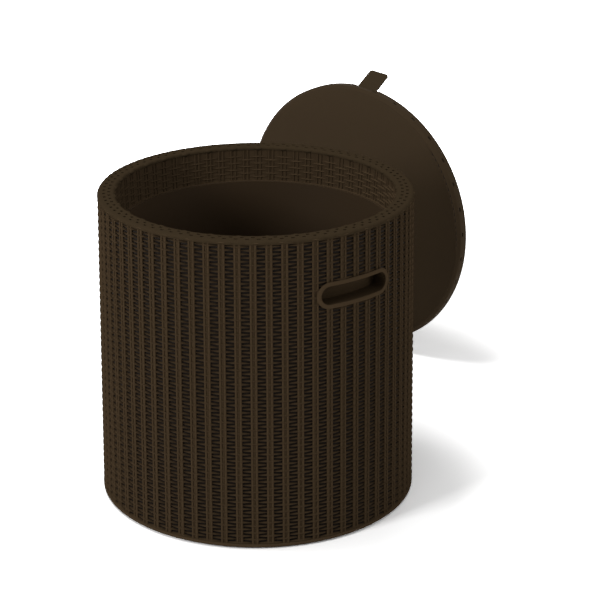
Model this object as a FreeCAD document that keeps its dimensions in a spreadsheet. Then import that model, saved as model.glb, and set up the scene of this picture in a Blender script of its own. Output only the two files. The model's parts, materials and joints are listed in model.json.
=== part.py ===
import FreeCAD, Part
import math
import os
import Sketcher

# Ice bucket coffee table: a round, insulated, double-walled tub with a wicker-look wall, two finger
# pockets and a drain, and a loose lid that closes it as a table top. The lid stands on its edge beside
# the tub. Millimetres, +Z up, origin at the centre of the tub's base on the floor. The finger pockets
# lie on the X axis and the drain on +Y.

SIZES = [
    ("base_diameter", 420.0, "outside of the wall at its lower edge"),
    ("wall_draft", 4.5, "how far the wall leans in from its foot to the rim"),
    ("body_height", 415.0, "floor to the top of the rim"),
    ("edge_height", 2.5, "floor to the lower edge of the wall"),
    ("edge_round", 1.5, "rounding of the wall's lower edge"),
    ("shell_wall", 4.0, "thickness of the outer wall"),
    ("groove_width", 6.0, "width of an upright groove in the wall's wicker relief"),
    ("groove_depth", 2.0, "depth of an upright groove"),
    ("groove_margin", 6.0, "lower edge of the wall's side to the grooves"),
    ("groove_count", 33, "grooves that would go once round the wall"),
    ("groove_first", 22.272727, "direction of the first groove, degrees from +X"),
    ("rim_width", 23.5, "width of the flat rim"),
    ("rim_round", 3.5, "rounding of the rim's edges"),
    ("band_depth", 48.0, "rim to the lower edge of the inner band"),
    ("band_lean", 2.0, "how far the inner band leans in over its depth"),
    ("band_wall", 3.0, "thickness of the inner band"),
    ("liner_step", 4.0, "how far the inner tub stands in from the band"),
    ("liner_draft", 4.0, "how far the inner tub leans in from the band to its floor"),
    ("liner_floor_height", 42.0, "floor level inside the tub"),
    ("liner_wall", 3.0, "thickness of the tub"),
    ("liner_corner", 8.0, "rounding between the tub's wall and floor"),
    ("liner_flange", 4.0, "how far the tub's flange reaches past the band"),
    ("foam_gap", 0.3, "gap between the foam and the walls around it"),
    ("foam_base", 45.0, "height of the foam sleeve's lower edge"),
    ("pan_height", 6.0, "height of the base pan's underside"),
    ("pan_plate", 3.0, "thickness of the base pan"),
    ("pan_gap", 0.3, "gap between the base pan and the wall"),
    ("pan_rib_height", 10.0, "height of the ring on the base pan"),
    ("pan_rib_wall", 2.5, "thickness of the ring on the base pan"),
    ("floor_foam_reach", 14.0, "how far the foam disc reaches past the inner tub's floor"),
    ("boss_diameter", 12.0, "screw bosses inside the wall"),
    ("boss_sink", 1.0, "how far a boss is sunk in the wall"),
    ("boss_height", 30.0, "height of a screw boss"),
    ("boss_count", 6, "screw bosses around the wall"),
    ("screw_diameter", 3.5, "shank of a base screw"),
    ("screw_length", 20.0, "length of a base screw under its head"),
    ("screw_head_diameter", 8.0, "head of a base screw"),
    ("screw_head_height", 2.4, "height of a screw's head"),
    ("screw_gap", 0.1, "radial gap between a screw and its pilot hole"),
    ("screw_hole_gap", 0.5, "radial gap between a screw and the pan's hole"),
    ("foot_diameter", 36.0, "rubber foot"),
    ("foot_round", 1.5, "rounding of a foot's lower edge"),
    ("foot_inset", 40.0, "wall's foot to the circle through the feet"),
    ("foot_stem_diameter", 8.0, "stem of a foot"),
    ("foot_stem_gap", 0.3, "radial gap between a foot's stem and the pan's hole"),
    ("pocket_length", 103.0, "opening of a finger pocket, along the wall"),
    ("pocket_height", 24.0, "opening of a finger pocket, up and down"),
    ("pocket_drop", 78.0, "rim to the centre of the finger pockets"),
    ("pocket_depth", 21.0, "depth of a finger pocket"),
    ("cup_wall", 2.5, "thickness of a handle cup"),
    ("cup_gap", 0.3, "gap between a handle cup and the wall's opening"),
    ("bezel_width", 5.5, "width of a handle cup's frame"),
    ("bezel_height", 1.2, "how far the frame stands off the wall"),
    ("drain_level", 62.0, "height of the drain's axis"),
    ("drain_bore", 10.0, "bore of the drain"),
    ("drain_tube_diameter", 16.0, "outside of the drain's tube"),
    ("drain_flange_diameter", 24.0, "flange of the drain inside the tub"),
    ("drain_flange_height", 2.5, "thickness of the drain's flange"),
    ("drain_gasket_height", 1.5, "thickness of the drain's gasket"),
    ("drain_pad_diameter", 34.0, "plain round pad in the wall under the drain's nut"),
    ("drain_pad_sink", 0.5, "how far the pad's face lies in from the wall on the drain's axis"),
    ("drain_seat_gap", 0.5, "gasket to the tub's wall on the drain's axis"),
    ("drain_hole_gap", 0.3, "radial gap round the drain's tube"),
    ("drain_nut_height", 5.0, "thickness of the drain's nut"),
    ("drain_nut_width", 24.0, "drain nut across its corners"),
    ("drain_nut_gap", 0.3, "drain nut to the wall on the drain's axis"),
    ("drain_thread_gap", 0.1, "radial gap between the drain's nut and its tube"),
    ("drain_tube_end", 1.0, "how far the tube stands out of the nut"),
    ("plug_gap", 0.1, "radial gap between the drain plug and the bore"),
    ("plug_length", 20.0, "length of the drain plug's shank"),
    ("plug_head_diameter", 22.0, "head of the drain plug"),
    ("plug_head_height", 4.0, "thickness of the drain plug's head"),
    ("plug_grip_height", 8.0, "length of the drain plug's grip"),
    ("plug_grip_thickness", 4.0, "thickness of the drain plug's grip"),
    ("plug_grip_width", 16.0, "width of the drain plug's grip"),
    ("seal_diameter", 15.0, "outside of the plug's seal"),
    ("seal_height", 1.5, "thickness of the plug's seal"),
    ("lid_height", 20.5, "lower edge to the top of the lid"),
    ("lid_wall", 3.0, "thickness of the lid's cover"),
    ("lid_round", 4.5, "rounding of the lid's top edge"),
    ("lid_gap", 0.3, "gap between the lid's cover and its liner"),
    ("lid_panel", 2.5, "thickness of the lid's liner"),
    ("lid_recess", 4.0, "lower edge of the lid's cover to the flange of its liner"),
    ("lid_plug_gap", 2.0, "radial gap between the lid's plug and the mouth of the tub"),
    ("lid_plug_depth", 15.0, "lower edge of the lid's cover to the underside of the plug"),
    ("lid_plug_draft", 3.5, "how far the plug tapers in over its depth"),
    ("lid_plug_round", 4.0, "rounding of the plug's lower edge"),
    ("lid_spacing", 306.7, "wall's foot to the centre of the standing lid's top"),
    ("lid_bearing", 126.6, "direction of the standing lid, degrees from +X"),
    ("lid_facing", 282.4, "direction that the lid's top faces, degrees from +X"),
    ("lid_roll", 4.4, "how far the standing lid is rolled from strap uppermost, degrees"),
    ("strap_width", 35.0, "width of the pull strap"),
    ("strap_length", 39.2, "hinge axis to the tip of the pull strap"),
    ("strap_thickness", 2.5, "thickness of the pull strap"),
    ("strap_corner", 5.0, "rounding of the strap's tip"),
    ("strap_knuckle_diameter", 6.4, "roll of the strap round its pin"),
    ("strap_inset", 4.7, "edge of the lid to the hinge axis"),
    ("strap_rise", 3.8, "lower edge of the lid's cover to the hinge axis"),
    ("strap_angle", 57.0, "how far the strap hangs down from the lid, degrees"),
    ("strap_pin_diameter", 3.0, "hinge pin of the strap"),
    ("strap_pin_gap", 0.1, "radial gap between the pin and the strap"),
    ("strap_side_gap", 0.5, "gap between the strap and a bracket's ear"),
    ("bracket_ear", 4.0, "thickness of a bracket's ear"),
    ("bracket_reach", 18.0, "hinge axis to the bracket's far edge"),
    ("bracket_nose", 3.2, "hinge axis to the end and to the edges of an ear"),
    ("bracket_plate", 2.0, "thickness of the bracket's plate"),
    ("bracket_plate_gap", 1.0, "gap between the plate and the strap's roll"),
    ("notch_gap", 0.5, "gap between the bracket and the sides of the lid's notch"),
    ("notch_height", 8.5, "height of the notch in the lid's skirt"),
    ("rivet_diameter", 4.0, "shank of a bracket rivet"),
    ("rivet_head_diameter", 8.0, "head of a bracket rivet"),
    ("rivet_head_height", 1.5, "height of a rivet's head"),
    ("rivet_spacing", 24.0, "distance between the two rivets"),
    ("rivet_gap", 0.1, "radial gap between a rivet and its hole"),
]

OUTER_FEET = 4
HEX_SIDES = 6
# Grooves between the two finger pockets on either side, and the step that starts the second side
SIDE_GROOVES = 13
FAR_SIDE_STEP = 17

doc = FreeCAD.newDocument("ice_bucket_table")
sheet = doc.addObject("Spreadsheet::Sheet", "Sizes")
for row, (alias, number, note) in enumerate(SIZES, start=1):
    sheet.set("A%d" % row, note)
    sheet.set("B%d" % row, str(number))
    sheet.setAlias("B%d" % row, alias)
doc.recompute()


class Size:
    """A size that knows its number and the sheet expression that gives it."""

    def __init__(self, number, text):
        self.number = float(number)
        self.text = text

    def __add__(self, other):
        other = as_size(other)
        return Size(self.number + other.number, "(%s + %s)" % (self.text, other.text))

    def __sub__(self, other):
        other = as_size(other)
        return Size(self.number - other.number, "(%s - %s)" % (self.text, other.text))

    def __mul__(self, other):
        other = as_size(other)
        return Size(self.number * other.number, "(%s * %s)" % (self.text, other.text))

    def __truediv__(self, other):
        other = as_size(other)
        return Size(self.number / other.number, "(%s / %s)" % (self.text, other.text))

    def __neg__(self):
        return Size(-self.number, "(0 - %s)" % self.text)


def as_size(value):
    """Gives a plain number the form of a size."""
    if isinstance(value, Size):
        return value
    return Size(value, "%.9f" % value)


def size(alias):
    """Reads one size from the sheet."""
    return Size(getattr(sheet, alias), "Sizes.%s" % alias)


def bind(target, path, value):
    """Sets a property from a size and ties it to the sheet."""
    value = as_size(value)
    target.setExpression(path, value.text)


def origin_plane(body, role):
    """Finds one of a body's own origin planes or axes."""
    for feature in body.Origin.OriginFeatures:
        if feature.Role == role:
            return feature
    raise ValueError(role)


def new_body(label):
    """Starts a sub-part."""
    body = doc.addObject("PartDesign::Body", label)
    body.Label = label
    return body


def new_sketch(body, name, plane, height=None):
    """Starts a sketch on an origin plane of the body, raised by a height along the plane's normal."""
    sketch = body.newObject("Sketcher::SketchObject", body.Name + "_" + name)
    sketch.AttachmentSupport = [(origin_plane(body, plane), "")]
    sketch.MapMode = "FlatFace"
    if height is not None:
        bind(sketch, "AttachmentOffset.Base.z", height)
    return sketch


def pin_coordinate(sketch, kind, axis, geometry, point, value):
    """Fixes one coordinate of a sketch point, on the axis where the coordinate is nothing."""
    if isinstance(value, (int, float)) and value == 0:
        sketch.addConstraint(Sketcher.Constraint("PointOnObject", geometry, point, axis))
        return
    value = as_size(value)
    index = sketch.addConstraint(
        Sketcher.Constraint(kind, -1, 1, geometry, point, value.number))
    sketch.setExpression("Constraints[%d]" % index, value.text)


def pin_point(sketch, geometry, point, x, y):
    """Fixes a sketch point at its two coordinates."""
    pin_coordinate(sketch, "DistanceX", -2, geometry, point, x)
    pin_coordinate(sketch, "DistanceY", -1, geometry, point, y)


def vector(x, y):
    """The place of a sketch point, as a vector."""
    return FreeCAD.Vector(as_size(x).number, as_size(y).number, 0)


def draw_outline(sketch, corners):
    """Draws a closed outline.

    A corner is (x, y), or (x, y, (cx, cy)) where an arc round (cx, cy) leads to it from the corner
    before it.
    """
    count = len(corners)
    first = sketch.GeometryCount
    ends = []
    for index, corner in enumerate(corners):
        before = corners[index - 1]
        start = vector(before[0], before[1])
        end = vector(corner[0], corner[1])
        if len(corner) == 2:
            geometry = sketch.addGeometry(Part.LineSegment(start, end), False)
            ends.append((geometry, 1, 2))
            continue
        centre = vector(*corner[2])
        circle = Part.Circle(centre, FreeCAD.Vector(0, 0, 1), (end - centre).Length)
        start_angle = math.atan2(start.y - centre.y, start.x - centre.x)
        end_angle = math.atan2(end.y - centre.y, end.x - centre.x)
        turn = (end_angle - start_angle) % (2 * math.pi)
        if turn <= math.pi:
            arc = Part.ArcOfCircle(circle, start_angle, start_angle + turn)
            geometry = sketch.addGeometry(arc, False)
            ends.append((geometry, 1, 2))
        else:
            arc = Part.ArcOfCircle(circle, end_angle, end_angle + 2 * math.pi - turn)
            geometry = sketch.addGeometry(arc, False)
            ends.append((geometry, 2, 1))
        if abs(end.y - start.y) >= abs(end.x - start.x):
            pin_coordinate(sketch, "DistanceX", -2, geometry, 3, corner[2][0])
        else:
            pin_coordinate(sketch, "DistanceY", -1, geometry, 3, corner[2][1])
    for index in range(count):
        geometry, _, far = ends[index]
        following, near, _ = ends[(index + 1) % count]
        sketch.addConstraint(Sketcher.Constraint("Coincident", geometry, far, following, near))
        pin_point(sketch, first + index, far, corners[index][0], corners[index][1])


def draw_circle(sketch, x, y, radius):
    """Draws a circle at a fixed place."""
    radius = as_size(radius)
    circle = Part.Circle(vector(x, y), FreeCAD.Vector(0, 0, 1), radius.number)
    geometry = sketch.addGeometry(circle, False)
    pin_point(sketch, geometry, 3, x, y)
    index = sketch.addConstraint(Sketcher.Constraint("Radius", geometry, radius.number))
    sketch.setExpression("Constraints[%d]" % index, radius.text)


def slot_corners(length, height, level):
    """The outline of a slot with round ends, centred on the upright axis of its sketch."""
    half_height = height / 2
    straight = length / 2 - half_height
    low = level - half_height
    high = level + half_height
    end = length / 2
    return [
        (straight, low),
        (end, level, (straight, level)),
        (straight, high, (straight, level)),
        (-straight, high),
        (-end, level, (-straight, level)),
        (-straight, low, (-straight, level)),
    ]


def revolve(body, name, corners, plane="XZ_Plane"):
    """Turns an outline once round the upright axis of its sketch."""
    sketch = new_sketch(body, name + "_profile", plane)
    draw_outline(sketch, corners)
    feature = body.newObject("PartDesign::Revolution", body.Name + "_" + name)
    feature.Profile = sketch
    feature.ReferenceAxis = (sketch, ["V_Axis"])
    feature.Angle = 360
    return feature


def pad(body, name, sketch, length, reverse=False):
    """Raises a sketch to a solid."""
    feature = body.newObject("PartDesign::Pad", body.Name + "_" + name)
    feature.Profile = sketch
    bind(feature, "Length", length)
    feature.Reversed = reverse
    return feature


def cut(body, name, sketch, depth=None, both_ways=False, reverse=False):
    """Cuts a sketch to a depth or right through the body, and checks that it took something away."""
    doc.recompute()
    before = body.Shape.Volume
    feature = body.newObject("PartDesign::Pocket", body.Name + "_" + name)
    feature.Profile = sketch
    feature.Type = "ThroughAll" if depth is None else "Length"
    if depth is not None:
        bind(feature, "Length", depth)
    feature.Midplane = both_ways
    feature.Reversed = reverse
    doc.recompute()
    if body.Shape.Volume >= before:
        raise ValueError("the cut %s of %s takes nothing away" % (name, body.Name))
    return feature


def polar_pattern(body, feature, count, turn=360):
    """Repeats a feature round the body's upright axis, once round or over part of a turn."""
    pattern = body.newObject("PartDesign::PolarPattern", feature.Name + "_pattern")
    pattern.Originals = [feature]
    pattern.Axis = (origin_plane(body, "Z_Axis"), [""])
    pattern.Angle = turn
    bind(pattern, "Occurrences", count)
    body.Tip = pattern
    return pattern


def primitive(kind, name, **values):
    """Makes a Part primitive whose sizes are tied to the sheet."""
    shape = doc.addObject(kind, name)
    for path, value in values.items():
        bind(shape, path, value)
    return shape


def combine(kind, name, shapes):
    """Joins, cuts or intersects shapes."""
    result = doc.addObject(kind, name)
    if kind == "Part::MultiFuse":
        result.Shapes = shapes
    else:
        result.Base = shapes[0]
        result.Tool = shapes[1]
    return result


# Shared heights and radii of the tub
base_radius = size("base_diameter") / 2
top_radius = base_radius - size("wall_draft")
edge = size("edge_height")
crest = size("body_height")
rim_level = crest - size("rim_round")
mouth_radius = top_radius - size("rim_width")
band_radius = mouth_radius - size("band_lean")
band_level = crest - size("band_depth")
liner_top_radius = band_radius - size("liner_step")
liner_floor_radius = liner_top_radius - size("liner_draft")
liner_floor = size("liner_floor_height")
liner_wall = size("liner_wall")
wall_foot = edge + size("edge_round")
wall_lean = size("wall_draft") / (rim_level - wall_foot)
pan_top = size("pan_height") + size("pan_plate")
floor_foam_radius = liner_floor_radius + size("floor_foam_reach")
boss_circle = base_radius - size("shell_wall") - size("boss_diameter") / 2 + size("boss_sink")
screw_radius = size("screw_diameter") / 2
pocket_level = crest - size("pocket_drop")
drain_level = size("drain_level")
drain_hole_radius = size("drain_tube_diameter") / 2 + size("drain_hole_gap")


def wall_radius(level):
    """Outside radius of the wall at a height."""
    return base_radius - wall_lean * (as_size(level) - wall_foot)


def liner_radius(level):
    """Inside radius of the tub at a height."""
    lean = size("liner_draft") / (band_level - liner_floor)
    return liner_floor_radius + lean * (as_size(level) - liner_floor)


def cut_drain_hole(body):
    """Cuts the drain's hole through the wall on the +Y side."""
    sketch = new_sketch(body, "drain_hole_sketch", "XZ_Plane")
    draw_circle(sketch, 0, drain_level, drain_hole_radius)
    cut(body, "drain_hole", sketch)


def cut_pocket_openings(body, length, height):
    """Cuts the openings of the two finger pockets through the wall on the X axis."""
    sketch = new_sketch(body, "pocket_sketch", "YZ_Plane")
    draw_outline(sketch, slot_corners(length, height, pocket_level))
    cut(body, "pockets", sketch, both_ways=True)


def cut_grooves(body):
    """Cuts the main upright grooves of the wicker relief, clear of the finger pockets."""
    depth = size("groove_depth")
    low = wall_foot + size("groove_margin")
    high = rim_level - depth
    step = 360 / size("groove_count").number
    starts = {"near": size("groove_first").number}
    starts["far"] = starts["near"] + step * FAR_SIDE_STEP
    for side, start in starts.items():
        sketch = new_sketch(body, side + "_groove_sketch", "XZ_Plane")
        sketch.AttachmentOffset = FreeCAD.Placement(
            FreeCAD.Vector(), FreeCAD.Rotation(FreeCAD.Vector(0, 1, 0), start))
        draw_outline(sketch, [
            (wall_radius(low) + depth, low - depth),
            (wall_radius(high) + depth, high + depth),
            (wall_radius(high) - depth, high - depth),
            (wall_radius(low) - depth, low + depth),
        ])
        groove = cut(body, side + "_groove", sketch, size("groove_width"), both_ways=True)
        polar_pattern(body, groove, SIDE_GROOVES, step * (SIDE_GROOVES - 1))


def fill_drain_pad(body):
    """Fills the grooves round the drain, so that its nut has a plain pad."""
    face = wall_radius(drain_level) - size("drain_pad_sink")
    sketch = new_sketch(body, "drain_pad_sketch", "XZ_Plane", -face)
    draw_circle(sketch, 0, drain_level, size("drain_pad_diameter") / 2)
    pad(body, "drain_pad", sketch, size("groove_depth") + size("drain_pad_sink"))


# Outer shell: the wall, the flat rim and the band inside the mouth, in one moulding
def make_outer_shell():
    body = new_body("outer_shell")
    wall = size("shell_wall")
    corner = size("edge_round")
    band_wall = size("band_wall")
    rim_round = size("rim_round")
    revolve(body, "wall", [
        (base_radius - wall, edge),
        (base_radius - corner, edge),
        (base_radius, wall_foot, (base_radius - corner, wall_foot)),
        (top_radius, rim_level),
        (top_radius - rim_round, crest, (top_radius - rim_round, rim_level)),
        (mouth_radius + rim_round, crest),
        (mouth_radius, rim_level, (mouth_radius + rim_round, rim_level)),
        (band_radius, band_level),
        (band_radius + band_wall, band_level),
        (mouth_radius + band_wall, crest - wall),
        (top_radius - wall, crest - wall),
    ])
    sketch = new_sketch(body, "boss_sketch", "XY_Plane", pan_top)
    draw_circle(sketch, boss_circle, 0, size("boss_diameter") / 2)
    draw_circle(sketch, boss_circle, 0, screw_radius + size("screw_gap"))
    boss = pad(body, "boss", sketch, size("boss_height"))
    doc.recompute()
    polar_pattern(body, boss, size("boss_count"))
    cut_grooves(body)
    fill_drain_pad(body)
    cup = size("cup_wall") + size("cup_gap")
    cut_pocket_openings(body, size("pocket_length") + cup * 2, size("pocket_height") + cup * 2)
    cut_drain_hole(body)
    return body


# Inner liner: the tub that holds the ice, hung by its flange under the band
def make_inner_liner():
    body = new_body("inner_liner")
    corner = size("liner_corner")
    outer_corner = corner + liner_wall
    underside = liner_floor - liner_wall
    flange_radius = band_radius + size("band_wall") + size("liner_flange")
    revolve(body, "tub", [
        (0, underside),
        (liner_floor_radius - corner, underside),
        (liner_floor_radius + liner_wall, liner_floor + corner,
         (liner_floor_radius - corner, liner_floor + corner)),
        (liner_top_radius + liner_wall, band_level - liner_wall),
        (flange_radius, band_level - liner_wall),
        (flange_radius, band_level),
        (liner_top_radius, band_level),
        (liner_floor_radius, liner_floor + corner),
        (liner_floor_radius - corner, liner_floor,
         (liner_floor_radius - corner, liner_floor + corner)),
        (0, liner_floor),
    ])
    cut_drain_hole(body)
    return body


# Foam between the shell and the liner
def make_insulation_sleeve():
    body = new_body("insulation_sleeve")
    gap = size("foam_gap")
    low = size("foam_base")
    high = band_level - liner_wall - gap
    outer = size("shell_wall") + gap
    inner = liner_wall + gap
    revolve(body, "sleeve", [
        (liner_radius(low) + inner, low),
        (wall_radius(low) - outer, low),
        (wall_radius(high) - outer, high),
        (liner_radius(high) + inner, high),
    ])
    cup = size("cup_wall") + size("cup_gap")
    cut_pocket_openings(body, size("pocket_length") + cup * 2, size("pocket_height") + cup * 2)
    cut_drain_hole(body)
    return body


# Foam disc between the base pan and the liner's floor
def make_insulation_floor():
    body = new_body("insulation_floor")
    revolve(body, "disc", [
        (0, pan_top),
        (floor_foam_radius, pan_top),
        (floor_foam_radius, liner_floor - liner_wall),
        (0, liner_floor - liner_wall),
    ])
    return body


# Base pan: closes the shell from below and carries the feet
def make_base_pan():
    body = new_body("base_pan")
    under = size("pan_height")
    radius = wall_radius(pan_top) - size("shell_wall") - size("pan_gap")
    rib = floor_foam_radius + size("foam_gap")
    rib_top = pan_top + size("pan_rib_height")
    revolve(body, "plate", [
        (0, under),
        (radius, under),
        (radius, pan_top),
        (rib + size("pan_rib_wall"), pan_top),
        (rib + size("pan_rib_wall"), rib_top),
        (rib, rib_top),
        (rib, pan_top),
        (0, pan_top),
    ])
    sketch = new_sketch(body, "screw_sketch", "XY_Plane")
    draw_circle(sketch, boss_circle, 0, screw_radius + size("screw_hole_gap"))
    hole = cut(body, "screw_hole", sketch, reverse=True)
    polar_pattern(body, hole, size("boss_count"))
    doc.recompute()
    sketch = new_sketch(body, "stem_sketch", "XY_Plane")
    for x, y in foot_places():
        draw_circle(sketch, x, y, size("foot_stem_diameter") / 2 + size("foot_stem_gap"))
    cut(body, "stem_holes", sketch, reverse=True)
    return body


def foot_places():
    """Centres of the feet: four near the wall, between the X and Y axes, and one in the middle."""
    reach = base_radius - size("foot_inset")
    places = []
    for number in range(OUTER_FEET):
        angle = 2 * math.pi * (number + 0.5) / OUTER_FEET
        places.append((reach * math.cos(angle), reach * math.sin(angle)))
    places.append((0, 0))
    return places


# Screws that hold the base pan to the shell's bosses
def make_base_screws():
    screws = []
    head_radius = size("screw_head_diameter") / 2
    under = size("pan_height")
    count = int(sheet.boss_count)
    for number in range(count):
        angle = 2 * math.pi * number / count
        x = boss_circle * math.cos(angle)
        y = boss_circle * math.sin(angle)
        head = primitive("Part::Cylinder", "screw_head_%d" % (number + 1),
                         Radius=head_radius, Height=size("screw_head_height"))
        shank = primitive("Part::Cylinder", "screw_shank_%d" % (number + 1),
                          Radius=screw_radius, Height=size("screw_length"))
        for shape, level in ((head, under - size("screw_head_height")), (shank, under)):
            bind(shape, "Placement.Base.x", x)
            bind(shape, "Placement.Base.y", y)
            bind(shape, "Placement.Base.z", level)
        screws.append(combine("Part::Fuse", "screw_%d" % (number + 1), [head, shank]))
    group = doc.addObject("Part::Compound", "base_screws")
    group.Links = screws
    return group


# Rubber feet pressed into the base pan
def make_foot_pads():
    pads = []
    radius = size("foot_diameter") / 2
    corner = size("foot_round")
    stem = size("foot_stem_diameter") / 2
    under = size("pan_height")
    for number, (x, y) in enumerate(foot_places(), start=1):
        body = new_body("foot_pad_%d" % number)
        revolve(body, "foot", [
            (0, 0),
            (radius - corner, 0),
            (radius, corner, (radius - corner, corner)),
            (radius, under),
            (stem, under),
            (stem, pan_top),
            (0, pan_top),
        ])
        bind(body, "Placement.Base.x", x)
        bind(body, "Placement.Base.y", y)
        pads.append(body)
    return pads


def wall_cone(name, offset):
    """A cone that follows the outside of the wall, moved out by an offset."""
    return primitive("Part::Cone", name, Radius1=wall_radius(0) + offset,
                     Radius2=wall_radius(crest) + offset, Height=crest)


def slot_prism(name, length, height):
    """A prism with round ends that runs out along +X from the tub's axis."""
    sketch = doc.addObject("Sketcher::SketchObject", name + "_sketch")
    sketch.Placement = FreeCAD.Placement(
        FreeCAD.Vector(), FreeCAD.Rotation(FreeCAD.Vector(1, 1, 1), 120))
    draw_outline(sketch, slot_corners(length, height, pocket_level))
    prism = doc.addObject("Part::Extrusion", name)
    prism.Base = sketch
    prism.DirMode = "Custom"
    prism.Dir = FreeCAD.Vector(1, 0, 0)
    prism.Solid = True
    bind(prism, "LengthFwd", base_radius + size("bezel_height"))
    return prism


# Handle cups: closed finger pockets with a smooth frame round the opening
def make_handle_cup(label, turn):
    length = size("pocket_length")
    height = size("pocket_height")
    wall = size("cup_wall")
    frame = size("bezel_width")
    back = wall_radius(pocket_level) - size("pocket_depth")
    block = combine("Part::Common", label + "_block", [
        slot_prism(label + "_outer_prism", length + wall * 2, height + wall * 2),
        wall_cone(label + "_outer_cone", size("bezel_height"))])
    plate = combine("Part::Cut", label + "_plate", [
        combine("Part::Common", label + "_plate_block", [
            slot_prism(label + "_plate_prism", length + frame * 2, height + frame * 2),
            wall_cone(label + "_plate_cone", size("bezel_height"))]),
        wall_cone(label + "_plate_core", 0)])
    solid = combine("Part::Fuse", label + "_solid", [block, plate])
    core = primitive("Part::Cylinder", label + "_core", Radius=back - wall, Height=crest)
    shell = combine("Part::Cut", label + "_shell", [solid, core])
    hollow = combine("Part::Cut", label + "_hollow", [
        slot_prism(label + "_inner_prism", length, height),
        primitive("Part::Cylinder", label + "_back", Radius=back, Height=crest)])
    cup = combine("Part::Cut", label, [shell, hollow])
    cup.Label = label
    cup.Placement = FreeCAD.Placement(
        FreeCAD.Vector(), FreeCAD.Rotation(FreeCAD.Vector(0, 0, 1), turn))
    return cup


# Drain: a flanged tube through the walls, its gasket and nut, and a pull-out plug with a seal.
# Its pieces are turned round the Y axis and then raised to the drain's level.
drain_flange_face = (liner_radius(drain_level - size("drain_flange_diameter") / 2)
                     - size("drain_seat_gap") - size("drain_gasket_height"))
drain_nut_face = wall_radius(drain_level - size("drain_nut_width") / 2) + size("drain_nut_gap")
drain_tube_face = drain_nut_face + size("drain_nut_height") + size("drain_tube_end")
bore_radius = size("drain_bore") / 2
tube_radius = size("drain_tube_diameter") / 2
drain_flange_radius = size("drain_flange_diameter") / 2
plug_head_face = drain_tube_face + size("seal_height")


def make_ring(label, corners):
    """Turns an outline of (radius, distance along +Y) corners round the drain's axis."""
    body = new_body(label)
    revolve(body, "ring", corners, plane="XY_Plane")
    bind(body, "Placement.Base.z", drain_level)
    return body


def make_drain_fitting():
    back = drain_flange_face - size("drain_flange_height")
    return make_ring("drain_fitting", [
        (bore_radius, back),
        (drain_flange_radius, back),
        (drain_flange_radius, drain_flange_face),
        (tube_radius, drain_flange_face),
        (tube_radius, drain_tube_face),
        (bore_radius, drain_tube_face),
    ])


def make_drain_gasket():
    inner = tube_radius + size("drain_hole_gap")
    front = drain_flange_face + size("drain_gasket_height")
    return make_ring("drain_gasket", [
        (inner, drain_flange_face),
        (drain_flange_radius, drain_flange_face),
        (drain_flange_radius, front),
        (inner, front),
    ])


def make_drain_nut():
    prism = primitive("Part::Prism", "drain_nut_block", Circumradius=size("drain_nut_width") / 2,
                      Height=size("drain_nut_height"))
    prism.Polygon = HEX_SIDES
    hole = primitive("Part::Cylinder", "drain_nut_hole", Height=size("drain_nut_height"),
                     Radius=tube_radius + size("drain_thread_gap"))
    nut = combine("Part::Cut", "drain_nut", [prism, hole])
    nut.Label = "drain_nut"
    nut.Placement = FreeCAD.Placement(
        FreeCAD.Vector(), FreeCAD.Rotation(FreeCAD.Vector(1, 0, 0), -90))
    bind(nut, "Placement.Base.y", drain_nut_face)
    bind(nut, "Placement.Base.z", drain_level)
    return nut


def make_drain_plug():
    body = new_body("drain_plug")
    shank = bore_radius - size("plug_gap")
    head = size("plug_head_diameter") / 2
    head_end = plug_head_face + size("plug_head_height")
    revolve(body, "turned", [
        (0, drain_tube_face - size("plug_length")),
        (shank, drain_tube_face - size("plug_length")),
        (shank, plug_head_face),
        (head, plug_head_face),
        (head, head_end),
        (0, head_end),
    ], plane="XY_Plane")
    half_width = size("plug_grip_width") / 2
    half_thickness = size("plug_grip_thickness") / 2
    sketch = new_sketch(body, "grip_sketch", "XZ_Plane", -head_end)
    draw_outline(sketch, [
        (-half_width, -half_thickness),
        (half_width, -half_thickness),
        (half_width, half_thickness),
        (-half_width, half_thickness),
    ])
    pad(body, "grip", sketch, size("plug_grip_height"), reverse=True)
    bind(body, "Placement.Base.z", drain_level)
    return body


def make_drain_plug_seal():
    return make_ring("drain_plug_seal", [
        (bore_radius, drain_tube_face),
        (size("seal_diameter") / 2, drain_tube_face),
        (size("seal_diameter") / 2, plug_head_face),
        (bore_radius, plug_head_face),
    ])


# Lid: its pieces are modelled lying flat, with the lower edge of the cover at height 0 and the top up,
# and are then stood on edge beside the tub with the pull strap uppermost.
lid_radius = top_radius
lid_top = size("lid_height")
lid_inside = lid_radius - size("lid_wall")
lid_recess = size("lid_recess")
plug_root = mouth_radius - size("lid_plug_gap")
plug_end = plug_root - size("lid_plug_draft")
plug_level = -size("lid_plug_depth")
bracket_span = size("strap_width") / 2 + size("strap_side_gap")
hinge_reach = lid_radius - size("strap_inset")
hinge_level = size("strap_rise")
rivet_reach = (hinge_reach - size("bracket_reach") / 2
               - size("strap_knuckle_diameter") / 4 - size("bracket_plate_gap") / 2)
plate_edge = hinge_reach - size("strap_knuckle_diameter") / 2 - size("bracket_plate_gap")
plate_under = lid_recess - size("bracket_plate")
bracket_half = bracket_span + size("bracket_ear")


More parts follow.
